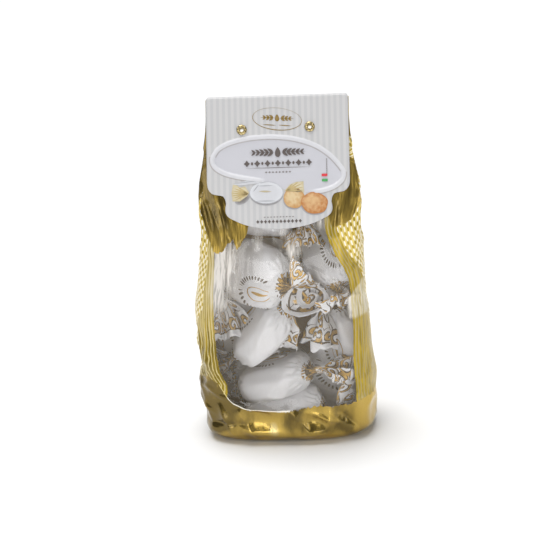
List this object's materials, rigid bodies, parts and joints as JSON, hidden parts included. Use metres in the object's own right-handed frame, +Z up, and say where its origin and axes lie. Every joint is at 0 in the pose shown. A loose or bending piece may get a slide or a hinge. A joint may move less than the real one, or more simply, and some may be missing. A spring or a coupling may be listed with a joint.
{
  "type": "bag of wrapped amaretti biscuits",
  "caption": "Upright clear gusseted film bag of twist-wrapped almond biscuits, closed by a folded die-cut header card held with eyelets.",
  "frame": {"origin": "on the floor, under the middle of the bag's flat base", "axes": "+Z up the bag, -Y towards the printed front of the header card, +X to the viewer's right"},
  "size_m": [0.1035, 0.0666, 0.1976],
  "materials": {
    "film": "clear glossy film printed gold at the sides, foot and back",
    "wrapper": "white waxed paper with gold scrolls at the twisted ends",
    "card": "silk coated white board, embossed, with light grey stripes",
    "eyelet_metal": "polished brass"
  },
  "bodies": {
    "root": {"bag": "film", "header_card": "card", "eyelet_left": "eyelet_metal", "eyelet_right": "eyelet_metal"}
  },
  "joints": []
}
